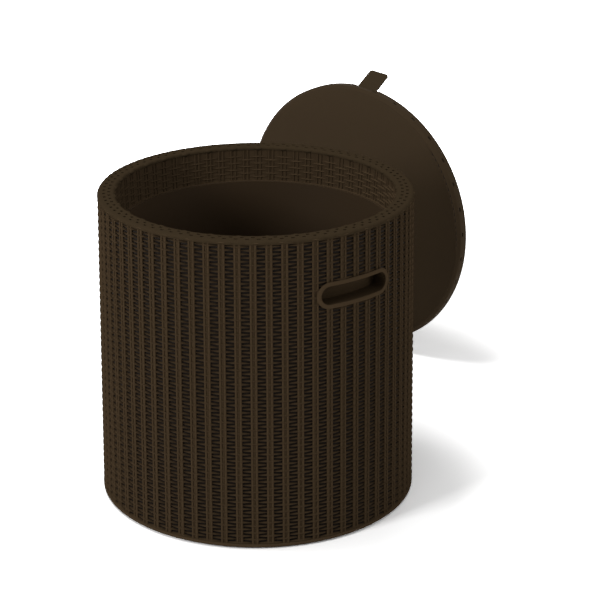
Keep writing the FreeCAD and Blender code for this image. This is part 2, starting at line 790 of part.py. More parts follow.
def lid_placement():
    """Stands the flat lid on its edge on the floor, its top turned towards the front."""
    bearing = math.radians(sheet.lid_bearing)
    distance = base_radius.number + sheet.lid_spacing
    top_centre = FreeCAD.Vector(distance * math.cos(bearing), distance * math.sin(bearing), lid_radius.number)
    facing = FreeCAD.Rotation(FreeCAD.Vector(0, 0, 1), sheet.lid_facing + 90)
    upright = FreeCAD.Rotation(FreeCAD.Vector(1, 0, 0), 90)
    roll = FreeCAD.Rotation(FreeCAD.Vector(0, 0, 1), -sheet.lid_roll)
    standing = FreeCAD.Placement(top_centre, facing.multiply(upright).multiply(roll))
    to_lower_edge = FreeCAD.Placement(FreeCAD.Vector(0, 0, -lid_top.number), FreeCAD.Rotation())
    return standing.multiply(to_lower_edge)


def cut_rivet_holes(body):
    """Cuts the two rivets' holes through the bracket's plate or the liner's flange."""
    sketch = new_sketch(body, "rivet_sketch", "XY_Plane")
    half = size("rivet_spacing") / 2
    radius = size("rivet_diameter") / 2 + size("rivet_gap")
    draw_circle(sketch, half, rivet_reach, radius)
    draw_circle(sketch, -half, rivet_reach, radius)
    cut(body, "rivet_holes", sketch, reverse=True)


def cut_strap_notch(body, depth=None):
    """Cuts the notch at the lid's edge that the strap's bracket sits in."""
    sketch = new_sketch(body, "notch_sketch", "XY_Plane")
    half = bracket_half + size("notch_gap")
    near = plate_edge - size("notch_gap")
    outside = lid_radius + size("notch_gap")
    draw_outline(sketch, [(-half, near), (half, near), (half, outside), (-half, outside)])
    cut(body, "strap_notch", sketch, depth=depth, reverse=True)


def make_lid_cover():
    body = new_body("lid_cover")
    corner = size("lid_round")
    wall = size("lid_wall")
    inner_corner = corner - wall
    ceiling = lid_top - wall
    revolve(body, "cap", [
        (0, ceiling),
        (lid_inside - inner_corner, ceiling),
        (lid_inside, ceiling - inner_corner, (lid_inside - inner_corner, ceiling - inner_corner)),
        (lid_inside, 0),
        (lid_radius, 0),
        (lid_radius, lid_top - corner),
        (lid_radius - corner, lid_top, (lid_radius - corner, lid_top - corner)),
        (0, lid_top),
    ])
    cut_strap_notch(body, depth=size("notch_height"))
    return body


def make_lid_liner():
    body = new_body("lid_liner")
    panel = size("lid_panel")
    corner = size("lid_plug_round")
    inner_corner = corner - panel
    edge_radius = lid_inside - size("lid_gap")
    revolve(body, "plug", [
        (0, plug_level),
        (plug_end - corner, plug_level),
        (plug_end, plug_level + corner, (plug_end - corner, plug_level + corner)),
        (plug_root, lid_recess),
        (edge_radius, lid_recess),
        (edge_radius, lid_recess + panel),
        (plug_root - panel, lid_recess + panel),
        (plug_end - panel, plug_level + corner),
        (plug_end - corner, plug_level + panel, (plug_end - corner, plug_level + corner)),
        (0, plug_level + panel),
    ])
    cut_strap_notch(body)
    cut_rivet_holes(body)
    return body


def make_lid_foam():
    body = new_body("lid_foam")
    radius = plug_end - size("lid_panel") - size("lid_plug_round")
    revolve(body, "disc", [
        (0, plug_level + size("lid_panel")),
        (radius, plug_level + size("lid_panel")),
        (radius, lid_top - size("lid_wall")),
        (0, lid_top - size("lid_wall")),
    ])
    return body


def make_strap_bracket():
    body = new_body("strap_bracket")
    far = hinge_reach - size("bracket_reach")
    nose = size("bracket_nose")
    sketch = new_sketch(body, "plate_sketch", "XY_Plane", plate_under)
    draw_outline(sketch, [
        (-bracket_half, far),
        (bracket_half, far),
        (bracket_half, plate_edge),
        (-bracket_half, plate_edge),
    ])
    pad(body, "plate", sketch, size("bracket_plate"))
    for name, start in (("right", bracket_span), ("left", -bracket_half)):
        sketch = new_sketch(body, name + "_ear_sketch", "YZ_Plane", start)
        draw_outline(sketch, [
            (far, plate_under),
            (hinge_reach, hinge_level - nose),
            (hinge_reach + nose, hinge_level - nose),
            (hinge_reach + nose, hinge_level + nose),
            (plate_edge, hinge_level + nose),
            (plate_edge, lid_recess),
            (far, lid_recess),
        ])
        pad(body, name + "_ear", sketch, size("bracket_ear"))
    sketch = new_sketch(body, "pin_sketch", "YZ_Plane")
    draw_circle(sketch, hinge_reach, hinge_level, size("strap_pin_diameter") / 2)
    cut(body, "pin_hole", sketch, both_ways=True)
    cut_rivet_holes(body)
    return body


def make_strap_rivets():
    parts = []
    shank_length = size("lid_panel") + size("bracket_plate")
    head_radius = size("rivet_head_diameter") / 2
    head = size("rivet_head_height")
    for number, side in ((1, 1), (2, -1)):
        pieces = []
        for name, radius, length, level in (
                ("lower_head", head_radius, head, plate_under - head),
                ("shank", size("rivet_diameter") / 2, shank_length, plate_under),
                ("upper_head", head_radius, head, lid_recess + size("lid_panel"))):
            piece = primitive("Part::Cylinder", "rivet_%d_%s" % (number, name),
                              Radius=radius, Height=length)
            bind(piece, "Placement.Base.x", size("rivet_spacing") / 2 * side)
            bind(piece, "Placement.Base.y", rivet_reach)
            bind(piece, "Placement.Base.z", level)
            pieces.append(piece)
        parts.append(combine("Part::MultiFuse", "rivet_%d" % number, pieces))
    group = doc.addObject("Part::Compound", "strap_rivets")
    group.Links = parts
    return group


def make_strap_pin():
    body = new_body("strap_pin")
    length = bracket_half * 2
    sketch = new_sketch(body, "sketch", "YZ_Plane", -bracket_half)
    draw_circle(sketch, hinge_reach, hinge_level, size("strap_pin_diameter") / 2)
    pad(body, "rod", sketch, length)
    return body


# Pull strap: a flat tab rolled round its pin, modelled with the hinge axis on the X axis
def make_pull_strap():
    body = new_body("pull_strap")
    half = size("strap_width") / 2
    tip = size("strap_length")
    corner = size("strap_corner")
    knuckle = size("strap_knuckle_diameter") / 2
    sketch = new_sketch(body, "knuckle_sketch", "YZ_Plane", -half)
    draw_circle(sketch, 0, 0, knuckle)
    pad(body, "knuckle", sketch, size("strap_width"))
    sketch = new_sketch(body, "tab_sketch", "XY_Plane", -(size("strap_thickness") / 2))
    draw_outline(sketch, [
        (-half, 0),
        (half, 0),
        (half, tip - corner),
        (half - corner, tip, (half - corner, tip - corner)),
        (-half + corner, tip),
        (-half, tip - corner, (-half + corner, tip - corner)),
    ])
    pad(body, "tab", sketch, size("strap_thickness"))
    sketch = new_sketch(body, "bore_sketch", "YZ_Plane")
    draw_circle(sketch, 0, 0, size("strap_pin_diameter") / 2 + size("strap_pin_gap"))
    cut(body, "bore", sketch, both_ways=True)
    return body


tub_parts = [
    make_outer_shell(),
    make_inner_liner(),
    make_insulation_sleeve(),
    make_insulation_floor(),
    make_base_pan(),
    make_base_screws(),
    make_handle_cup("handle_cup_right", 0),
    make_handle_cup("handle_cup_left", 180),
    make_drain_fitting(),
    make_drain_gasket(),
    make_drain_nut(),
    make_drain_plug(),
    make_drain_plug_seal(),
] + make_foot_pads()

lid_parts = [
    make_lid_cover(),
    make_lid_liner(),
    make_lid_foam(),
    make_strap_bracket(),
    make_strap_rivets(),
    make_strap_pin(),
    make_pull_strap(),
]
hinge = FreeCAD.Placement(
    FreeCAD.Vector(0, hinge_reach.number, hinge_level.number),
    FreeCAD.Rotation(FreeCAD.Vector(1, 0, 0), -sheet.strap_angle))
for part in lid_parts:
    part.Placement = lid_placement()
lid_parts[-1].Placement = lid_placement().multiply(hinge)

doc.recompute()
for item in doc.Objects:
    if "Invalid" in item.State or "Error" in item.State:
        raise ValueError("%s failed: %s" % (item.Name, item.State))

os.makedirs("parts", exist_ok=True)
for part in tub_parts + lid_parts:
    if part.Shape.isNull() or not part.Shape.isValid():
        raise ValueError("%s has no valid shape" % part.Label)
for part in tub_parts + lid_parts:
    part.Shape.exportStep("parts/%s.step" % part.Label)
    print("%-20s %d solid(s) %12.1f mm3" % (part.Label, len(part.Shape.Solids), part.Shape.Volume))
pivot = lid_parts[-1].Placement.Base
axis = lid_parts[-1].Placement.Rotation.multVec(FreeCAD.Vector(1, 0, 0))
print("strap hinge at", pivot, "along", axis)
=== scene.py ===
"""Dresses the CAD frame of a round, wicker-look ice bucket coffee table.

The wall is one moulding of polypropylene that imitates wicker: pairs of upright stakes with pointed
strands across them. Everything is in metres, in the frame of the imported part: +Z up, the finger
pockets on the X axis, the drain on +Y, the lid standing on its edge beside the tub.
"""
import json
import math

import bmesh
import bpy
from mathutils import Matrix, Vector


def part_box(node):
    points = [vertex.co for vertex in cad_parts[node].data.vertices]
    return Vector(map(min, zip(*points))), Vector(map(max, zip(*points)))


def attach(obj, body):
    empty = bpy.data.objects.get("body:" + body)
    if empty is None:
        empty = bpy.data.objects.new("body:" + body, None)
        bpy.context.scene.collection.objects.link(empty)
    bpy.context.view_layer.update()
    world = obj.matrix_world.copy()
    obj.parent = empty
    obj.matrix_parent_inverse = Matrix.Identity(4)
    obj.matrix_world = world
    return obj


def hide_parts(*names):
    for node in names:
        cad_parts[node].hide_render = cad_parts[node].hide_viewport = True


bl_info = {
    "name": "Ice bucket coffee table",
    "version": (1, 0, 0),
    "blender": (4, 5, 0),
    "location": "3D View > Sidebar > Ice Table",
    "description": "Dresses the CAD frame of a wicker-look ice bucket coffee table",
    "category": "Add Mesh",
}

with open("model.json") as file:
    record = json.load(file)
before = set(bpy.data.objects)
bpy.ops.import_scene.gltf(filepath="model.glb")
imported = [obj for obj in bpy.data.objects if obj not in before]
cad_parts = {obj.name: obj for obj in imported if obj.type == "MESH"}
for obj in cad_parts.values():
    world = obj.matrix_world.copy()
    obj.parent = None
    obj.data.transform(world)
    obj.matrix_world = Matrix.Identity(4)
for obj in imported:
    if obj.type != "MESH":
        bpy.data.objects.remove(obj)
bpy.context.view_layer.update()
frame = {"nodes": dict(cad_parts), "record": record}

AXIS = Vector((0, 0, 1))
FULL_TURN = 2 * math.pi
TINY = 0.00005


# Places read from the frame
def node_points(node):
    """The points of a CAD node."""
    return [vertex.co for vertex in frame["nodes"][node].data.vertices]


def node_radii(node, low, high):
    """Smallest and largest distance from the tub's axis of a node's points between two heights."""
    radii = [math.hypot(p.x, p.y) for p in node_points(node) if low <= p.z <= high]
    return min(radii), max(radii)


shell_low, shell_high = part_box("outer_shell")
foot_radius = shell_high[0]
rim_level = shell_high[2]
rim_round = 0.0035
lid_round = 0.0045
mouth_radius, rim_radius = node_radii("outer_shell", rim_level - 0.004, rim_level)
band_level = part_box("inner_liner")[1][2]
cup_low, cup_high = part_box("handle_cup_right")
drain_low, drain_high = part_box("drain_nut")
tub_middle = Vector((0, 0, 0.2))


def wall_radius(level):
    """Outside radius of the wall at a height."""
    share = (level - shell_low[2]) / (rim_level - rim_round - shell_low[2])
    return foot_radius + (rim_radius - foot_radius) * share


def band_radius(level):
    """Inside radius of the band in the mouth at a height."""
    low_radius = node_radii("outer_shell", band_level - TINY, band_level + TINY)[0]
    share = (level - band_level) / (rim_level - rim_round - band_level)
    return low_radius + (mouth_radius - low_radius) * share


def lid_frame():
    """The standing lid's own frame: X along the strap's hinge, Z towards its top, at its lower edge."""
    hinge = next(joint for joint in frame["record"]["behaviour"]["joints"]
                 if joint["name"] == "strap_hinge")
    across = Vector(hinge["axis"]).normalized()
    level_across = Vector((across.x, across.y, 0)).normalized()
    facing = level_across.cross(AXIS).normalized()
    points = node_points("lid_cover")
    along = [p.dot(level_across) for p in points]
    depth = [p.dot(facing) for p in points]
    low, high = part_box("lid_cover")
    origin = (level_across * (min(along) + max(along)) / 2
              + facing * min(depth)
              + AXIS * (low[2] + high[2]) / 2)
    up = facing.cross(across)
    placing = Matrix((across, up, facing)).transposed().to_4x4()
    placing.translation = origin
    return placing, max(depth) - min(depth)


lid_placing, lid_height = lid_frame()


# Sizes and colours that a user may change
class WeaveSizes(bpy.types.PropertyGroup):
    """Sizes of the wicker relief."""

    pairs: bpy.props.IntProperty(
        name="Stake pairs", description="Pairs of upright stakes round the wall", default=66, min=8)
    relief: bpy.props.FloatProperty(
        name="Relief", description="Depth of the wicker relief", default=0.0035, unit="LENGTH")
    stake_width: bpy.props.FloatProperty(
        name="Stake", description="Width of one stake", default=0.0032, unit="LENGTH")
    stake_spacing: bpy.props.FloatProperty(
        name="Stake spacing", description="Between the two stakes of a pair", default=0.0056,
        unit="LENGTH")
    stake_sink: bpy.props.FloatProperty(
        name="Stake sink", description="How far the stakes stay behind the strands", default=0.0007,
        unit="LENGTH")
    web_sink: bpy.props.FloatProperty(
        name="Web sink", description="How far the web between two stakes stays behind them",
        default=0.0013, unit="LENGTH")
    strand_length: bpy.props.FloatProperty(
        name="Strand", description="Length of a pointed strand", default=0.0296, unit="LENGTH")
    strand_height: bpy.props.FloatProperty(
        name="Strand height", description="Height of a strand where it crosses the stakes",
        default=0.0026, unit="LENGTH")
    strand_pitch: bpy.props.FloatProperty(
        name="Strand pitch", description="From one strand to the next above it", default=0.00945,
        unit="LENGTH")
    foot_band: bpy.props.FloatProperty(
        name="Foot band", description="Height of the plain band at the foot", default=0.0044,
        unit="LENGTH")
    mouth_relief: bpy.props.FloatProperty(
        name="Mouth relief", description="Depth of the relief inside the mouth", default=0.0020,
        unit="LENGTH")


class RimSizes(bpy.types.PropertyGroup):
    """Sizes of the plaited rim."""

    dimples: bpy.props.IntProperty(
        name="Dimples", description="Dimples in each of the rim's two rows", default=88, min=8)
    dimple_depth: bpy.props.FloatProperty(
        name="Dimple depth", description="Depth of a dimple", default=0.0018, unit="LENGTH")
    scallop: bpy.props.FloatProperty(
        name="Scallop", description="How far the rim's edges go in between two dimples",
        default=0.0008, unit="LENGTH")
    knots: bpy.props.IntProperty(
        name="Knots", description="Knots along the rim's inner edge", default=33, min=4)
    knot_length: bpy.props.FloatProperty(
        name="Knot", description="Length of a knot along the edge", default=0.013, unit="LENGTH")


class LidSizes(bpy.types.PropertyGroup):
    """Sizes of the lid's trim."""

    edge_height: bpy.props.FloatProperty(
        name="Edge height", description="Height of the slope round the table top", default=0.0066,
        unit="LENGTH")
    step: bpy.props.FloatProperty(
        name="Step", description="From the table top down to the slope round it", default=0.0020,
        unit="LENGTH")
    notches: bpy.props.IntProperty(
        name="Notches", description="Notches round the side of the lid", default=33, min=4)
    notch_level: bpy.props.FloatProperty(
        name="Notch level", description="Lower edge of the lid to the notches' middle",
        default=0.0094, unit="LENGTH")
    notch_length: bpy.props.FloatProperty(
        name="Notch length", description="Length of a notch round the lid", default=0.0065,
        unit="LENGTH")
    notch_width: bpy.props.FloatProperty(
        name="Notch width", description="Width of a notch", default=0.0036, unit="LENGTH")
    notch_depth: bpy.props.FloatProperty(
        name="Notch depth", description="Depth of a notch", default=0.0018, unit="LENGTH")


class StageSizes(bpy.types.PropertyGroup):
    """Camera and light."""

    camera_place: bpy.props.FloatVectorProperty(
        name="Camera", description="Place of the camera", default=(2.0677, -1.5581, 1.2689),
        subtype="TRANSLATION", unit="LENGTH")
    camera_aim: bpy.props.FloatVectorProperty(
        name="Aim", description="Direction in which the camera looks",
        default=(-0.7315, 0.5770, -0.3633), subtype="DIRECTION")
    lens: bpy.props.FloatProperty(
        name="Lens", description="Focal length in millimetres on a 36 mm sensor", default=126.0)
    top_power: bpy.props.FloatProperty(
        name="Top light", description="Power of the lamp overhead", default=34.0, subtype="POWER")
    left_power: bpy.props.FloatProperty(
        name="Left light", description="Power of the lamp on the left", default=38.0, subtype="POWER")
    right_power: bpy.props.FloatProperty(
        name="Right light", description="Power of the lamp on the right", default=17.0, subtype="POWER")
    back_power: bpy.props.FloatProperty(
        name="Back light", description="Power of the lamp behind the lid", default=16.0, subtype="POWER")
    sky: bpy.props.FloatProperty(
        name="Sky", description="Strength of the light from all round", default=0.34)
    floor_gain: bpy.props.FloatProperty(
        name="Floor", description="Brightness of the floor to the camera, above 1 to make it white",
        default=1.85)


class Colours(bpy.types.PropertyGroup):
    """Colours as sRGB hex values."""

    wicker: bpy.props.StringProperty(
        name="Wicker", description="Moulded wicker relief", default="#443728")
    # Rim: the same moulding as the wicker, its colour drawn darker as painted shade on its top.
    rim: bpy.props.StringProperty(
        name="Rim", description="Plaited rim", default="#372D20")
    # Gaps: painted shade, the same plastic drawn near black where little light gets in.
    gaps: bpy.props.StringProperty(
        name="Gaps", description="Wall between the strands", default="#100A05")
    lid: bpy.props.StringProperty(
        name="Lid", description="Smooth lid", default="#3B3023")
    liner: bpy.props.StringProperty(
        name="Tub", description="Smooth inside of the tub", default="#3A2E21")
    # Pocket: the cups' colour drawn darker than the wicker as painted shade inside the pockets.
    pocket: bpy.props.StringProperty(
        name="Pocket", description="Inside of the finger pockets", default="#362B1E")
    strap: bpy.props.StringProperty(
        name="Strap", description="Pull strap", default="#382E21")


# Colours and nodes
def linear(hex_colour):
    """Turns an sRGB hex colour into the linear colour that Blender works in."""
    channels = [int(hex_colour[i:i + 2], 16) / 255 for i in (1, 3, 5)]
    straight = [c / 12.92 if c <= 0.04045 else ((c + 0.055) / 1.055) ** 2.4 for c in channels]
    return (*straight, 1.0)


def per_metre(millimetres):
    """Scale of a texture whose features are this many millimetres apart."""
    return 1000 / millimetres


def add_node(tree, kind, inputs=None, **settings):
    """Adds a node, sets it, and fills its sockets with values or links."""
    node = tree.nodes.new(kind)
    for name, value in settings.items():
        setattr(node, name, value)
    for socket, value in (inputs or {}).items():
        if isinstance(value, bpy.types.NodeSocket):
            tree.links.new(value, node.inputs[socket])
        else:
            node.inputs[socket].default_value = value
    return node


def new_finish(name, colour, roughness, ior=1.5, metallic=0.0, specular=0.5):
    """Starts a material from a plain surface."""
    material = bpy.data.materials.new(name)
    material.use_nodes = True
    tree = material.node_tree
    surface = tree.nodes["Principled BSDF"]
    surface.inputs["Base Color"].default_value = linear(colour)
    surface.inputs["Roughness"].default_value = roughness
    surface.inputs["IOR"].default_value = ior
    surface.inputs["Metallic"].default_value = metallic
    surface.inputs["Specular IOR Level"].default_value = specular
    return material, tree, surface


def add_grain(tree, surface, grain_mm, depth_mm):
    """Gives a surface a fine moulded grain."""
    place = add_node(tree, "ShaderNodeTexCoord")
    grain = add_node(tree, "ShaderNodeTexNoise",
                     {"Vector": place.outputs["Object"], "Scale": per_metre(grain_mm), "Detail": 2.0})
    bump = add_node(tree, "ShaderNodeBump",
                    {"Height": grain.outputs["Fac"], "Distance": depth_mm / 1000, "Strength": 1.0})
    tree.links.new(bump.outputs["Normal"], surface.inputs["Normal"])


# Finishes, each named for what it is made of and how; some colours also carry painted shade
def finish(name):
    """A finish by its name, made the first time it is asked for."""
    made = bpy.data.materials.get(name)
    return made or FINISHES[name](bpy.context.scene.ice_table_colours)


def wicker_finish(colours):
    """Moulded polypropylene, satin: strands catch a soft broad highlight."""
    material, tree, surface = new_finish("moulded_polypropylene", colours.wicker, 0.6, 1.49,
                                          specular=0.0)
    add_grain(tree, surface, grain_mm=1.2, depth_mm=0.06)
    return material


def rim_painted_shade_finish(colours):
    """The rim's moulding with a fine plaited grain, drawn a little darker as painted shade on its top."""
    material, tree, surface = new_finish("plaited_polypropylene_painted_shade", colours.rim, 0.7, 1.49,
                                          specular=0.0)
    add_grain(tree, surface, grain_mm=1.2, depth_mm=0.10)
    return material


def gap_painted_shade_finish(colours):
    """The same moulding between the strands, drawn darker than it is because little light gets there."""
    material, _, _ = new_finish("polypropylene_in_the_gaps_painted_shade", colours.gaps, 0.8, 1.49, specular=0.1)
    return material


def smooth_finish(colours):
    """Injection-moulded polypropylene with a fine spark-eroded grain, so it shines only broadly."""
    material, tree, surface = new_finish("grained_polypropylene", colours.lid, 0.6, 1.49,
                                          specular=0.01)
    add_grain(tree, surface, grain_mm=0.9, depth_mm=0.02)
    return material


def pocket_painted_shade_finish(colours):
    """Polypropylene of the pocket cups, moulded apart from the wall, drawn a little darker as painted
    shade.
    """
    material, tree, surface = new_finish("cup_polypropylene_painted_shade", colours.pocket, 0.6, 1.49,
                                          specular=0.01)
    add_grain(tree, surface, grain_mm=0.9, depth_mm=0.02)
    return material


def liner_finish(colours):
    """Smooth polypropylene of the inner tub, a little glossier than the outside."""
    material, tree, surface = new_finish("smooth_polypropylene", colours.liner, 0.4, 1.49,
                                          specular=0.12)
    add_grain(tree, surface, grain_mm=6.0, depth_mm=0.03)
    return material


def base_finish(colours):
    """Black-brown polypropylene of the base pan, dull from moulding."""
    material, tree, surface = new_finish("base_polypropylene", "#241E19", 0.6, 1.49)
    add_grain(tree, surface, grain_mm=1.0, depth_mm=0.03)
    return material


def foam_finish(colours):
    """Expanded polystyrene: beads a few millimetres across, quite matt."""
    material, tree, surface = new_finish("expanded_polystyrene", "#E4E0D2", 0.9, 1.5)
    place = add_node(tree, "ShaderNodeTexCoord")
    beads = add_node(tree, "ShaderNodeTexVoronoi",
                     {"Vector": place.outputs["Object"], "Scale": per_metre(3.5)})
    bump = add_node(tree, "ShaderNodeBump",
                    {"Height": beads.outputs["Distance"], "Distance": 0.0008, "Strength": 1.0},
                    invert=True)
    tree.links.new(bump.outputs["Normal"], surface.inputs["Normal"])
    return material


def drain_finish(colours):
    """Black ABS of the drain fittings, smooth and a little glossy."""
    material, tree, surface = new_finish("black_abs", "#1B1B1B", 0.35, 1.54)
    add_grain(tree, surface, grain_mm=1.0, depth_mm=0.01)
    return material


def rubber_finish(colours):
    """Black moulded EPDM of feet and seals, matt."""
    material, tree, surface = new_finish("moulded_epdm_rubber", "#17171A", 0.8, 1.52)
    add_grain(tree, surface, grain_mm=0.8, depth_mm=0.03)
    return material


def strap_finish(colours):
    """Calendered vinyl of the pull strap: fine leather-like grain, soft sheen."""
    material, tree, surface = new_finish("calendered_vinyl", colours.strap, 0.6, 1.53, specular=0.01)
    place = add_node(tree, "ShaderNodeTexCoord")
    grain = add_node(tree, "ShaderNodeTexVoronoi",
                     {"Vector": place.outputs["Object"], "Scale": per_metre(1.3)})
    bump = add_node(tree, "ShaderNodeBump",
                    {"Height": grain.outputs["Distance"], "Distance": 0.00008, "Strength": 1.0})
    tree.links.new(bump.outputs["Normal"], surface.inputs["Normal"])
    return material


def steel_finish(colours):
    """Bright zinc-plated steel of screws, rivets and pin."""
    material, tree, surface = new_finish("zinc_plated_steel", "#B9BCC0", 0.32, 1.45, 1.0)
    add_grain(tree, surface, grain_mm=0.7, depth_mm=0.01)
    return material


FINISHES = {
    "moulded_polypropylene": wicker_finish,
    "plaited_polypropylene_painted_shade": rim_painted_shade_finish,
    "polypropylene_in_the_gaps_painted_shade": gap_painted_shade_finish,
    "grained_polypropylene": smooth_finish,
    "cup_polypropylene_painted_shade": pocket_painted_shade_finish,
    "smooth_polypropylene": liner_finish,
    "base_polypropylene": base_finish,
    "expanded_polystyrene": foam_finish,
    "black_abs": drain_finish,
    "moulded_epdm_rubber": rubber_finish,
    "calendered_vinyl": strap_finish,
    "zinc_plated_steel": steel_finish,
}

# Material slots of the record, each with its finish
SLOTS = {
    "wicker_plastic": "moulded_polypropylene",
    "handle_plastic": "cup_polypropylene_painted_shade",
    "lid_plastic": "grained_polypropylene",
    "liner_plastic": "smooth_polypropylene",
    "base_plastic": "base_polypropylene",
    "foam": "expanded_polystyrene",
    "drain_plastic": "black_abs",
    "seal_rubber": "moulded_epdm_rubber",
    "foot_rubber": "moulded_epdm_rubber",
    "strap_vinyl": "calendered_vinyl",
    "screw_steel": "zinc_plated_steel",
}


# Meshes
def copy_of(node):
    """A bmesh of a CAD node with its loose triangles merged."""
    bm = bmesh.new()
    bm.from_mesh(frame["nodes"][node].data)
    bmesh.ops.remove_doubles(bm, verts=bm.verts, dist=0.000005)
    return bm


def whole(bm):
    """All of a bmesh's geometry."""
    return bm.verts[:] + bm.edges[:] + bm.faces[:]


def with_corners(faces):
    """Faces with their edges and vertices, each once and in a fixed order, so every run is the same."""
    edges = dict.fromkeys(edge for face in faces for edge in face.edges)
    verts = dict.fromkeys(vertex for face in faces for vertex in face.verts)
    return [*verts, *edges, *faces]


def finish_piece(bm, name, body, slot, smooth_angle=35.0, first=None, second=None):
    """Makes an object of a bmesh that rides on a body, shaded smooth up to an angle."""
    mesh = bpy.data.meshes.new(name)
    bm.to_mesh(mesh)
    bm.free()
    piece = bpy.data.objects.new(name, mesh)
    bpy.context.scene.collection.objects.link(piece)
    mesh.materials.append(finish(first or SLOTS[slot]))
    if second:
        mesh.materials.append(finish(second))
    mesh.shade_smooth()
    mesh.set_sharp_from_angle(angle=math.radians(smooth_angle))
    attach(piece, body)
    return piece


def cut_level(bm, level, geometry=None):
    """Cuts edges into a bmesh at a height."""
    bmesh.ops.bisect_plane(bm, geom=geometry or whole(bm), plane_co=(0, 0, level), plane_no=AXIS)


def follow_wall(bm):
    """Leans geometry modelled on the rim's radius out with the wall."""
    for vertex in bm.verts:
        grow = wall_radius(vertex.co.z) / rim_radius
        vertex.co.x *= grow
        vertex.co.y *= grow


def wrap(bm, radius):
    """Bends geometry from a flat strip onto a cylinder: X is the distance out, Y runs round."""
    for vertex in bm.verts:
        out = radius + vertex.co.x
        angle = vertex.co.y / radius
        vertex.co.x = out * math.cos(angle)
        vertex.co.y = out * math.sin(angle)


def repeat_round(bm, geometry, count):
    """Repeats geometry round the tub's axis."""
    bmesh.ops.spin(bm, geom=geometry, cent=(0, 0, 0), axis=AXIS, dvec=(0, 0, 0),
                   angle=FULL_TURN * (count - 1) / count, steps=count - 1, use_duplicate=True)


def repeat_up(bm, geometry, count, pitch):
    """Repeats geometry upwards."""
    for step in range(1, count):
        copied = bmesh.ops.duplicate(bm, geom=geometry)["geom"]
        verts = [item for item in copied if isinstance(item, bmesh.types.BMVert)]
        bmesh.ops.translate(bm, verts=verts, vec=(0, 0, pitch * step))


def slot_planes(half_length, half_height, level, steps=8):
    """Planes round a slot with round ends on the X axis, as places and outward directions."""
    straight = half_length - half_height
    planes = []
    for step in range(steps * 2):
        angle = math.pi * step / steps
        outward = Vector((0, math.cos(angle), math.sin(angle)))
        end = Vector((0, math.copysign(straight, outward.y), level))
        planes.append((end + outward * half_height, outward))
    return planes


def cut_window(bm, planes, side, span):
    """Cuts away what lies inside all planes, among the faces near them on one side of the tub."""
    def depth(face):
        centre = face.calc_center_median()
        return max((centre - place).dot(outward) for place, outward in planes)

    faces = [f for f in bm.faces if f.calc_center_median().dot(side) > 0 and depth(f) < span]
    near = with_corners(faces)
    for place, outward in planes:
        near = bmesh.ops.bisect_plane(bm, geom=near, plane_co=place, plane_no=outward)["geom"]
    inside = [item for item in near if isinstance(item, bmesh.types.BMFace) and depth(item) < 0]
    bmesh.ops.delete(bm, geom=inside, context="FACES")


def cut_fittings(bm):
    """Cuts the relief away under the pocket frames and round the drain."""
    under_frame = 0.0025
    under_pad = 0.0008
    span = 0.02
    corners = 24
    half_length = (cup_high[1] - cup_low[1]) / 2 - under_frame
    half_height = (cup_high[2] - cup_low[2]) / 2 - under_frame
    planes = slot_planes(half_length, half_height, (cup_high[2] + cup_low[2]) / 2)
    cut_window(bm, planes, Vector((1, 0, 0)), span)
    cut_window(bm, planes, Vector((-1, 0, 0)), span)
    middle = Vector((0, 0, (drain_high[2] + drain_low[2]) / 2))
    reach = drain_pad_radius() - under_pad
    planes = []
    for step in range(corners):
        angle = FULL_TURN * step / corners
        outward = Vector((math.cos(angle), 0, math.sin(angle)))
        planes.append((middle + outward * reach, outward))
    cut_window(bm, planes, Vector((0, 1, 0)), span)


def drain_pad_radius():
    """Radius of the plain round pad that the drain's nut sits on."""
    past_nut = 0.005
    return (drain_high[0] - drain_low[0]) / 2 + past_nut


def make_strand(length, height, depth):
    """One pointed strand along Y, its crest at X zero, without the sides that the wall hides."""
    straight_share = 0.25
    point_taper = 0.88
    end_sink = 0.62
    foot_flare = 1.25
    bm = bmesh.new()
    made = bmesh.ops.create_cone(bm, cap_ends=True, segments=6, radius1=1, radius2=1, depth=1)
    bmesh.ops.rotate(bm, verts=made["verts"], cent=(0, 0, 0), matrix=Matrix.Rotation(math.pi / 6, 3, "Z"))
    bmesh.ops.rotate(bm, verts=made["verts"], cent=(0, 0, 0), matrix=Matrix.Rotation(math.pi / 2, 3, "X"))
    hidden = [f for f in bm.faces if f.normal.x < -0.3 or abs(f.normal.y) > 0.9]
    bmesh.ops.delete(bm, geom=hidden, context="FACES")
    long_edges = [e for e in bm.edges if abs(e.verts[0].co.y - e.verts[1].co.y) > 0.5]
    bmesh.ops.subdivide_edges(bm, edges=long_edges, cuts=7)
    for vertex in bm.verts:
        along = abs(vertex.co.y) * 2
        past = max(0.0, along - straight_share)
        taper = 1 - past / (1 - straight_share) * point_taper
        sink = past ** 1.5 * depth * end_sink
        out = max(vertex.co.x, 0)
        vertex.co.x = (out - 1) * depth - sink * out
        vertex.co.y *= length
        vertex.co.z *= height / 2 * taper * (1.0 if out > 0.5 else foot_flare)
    return bm


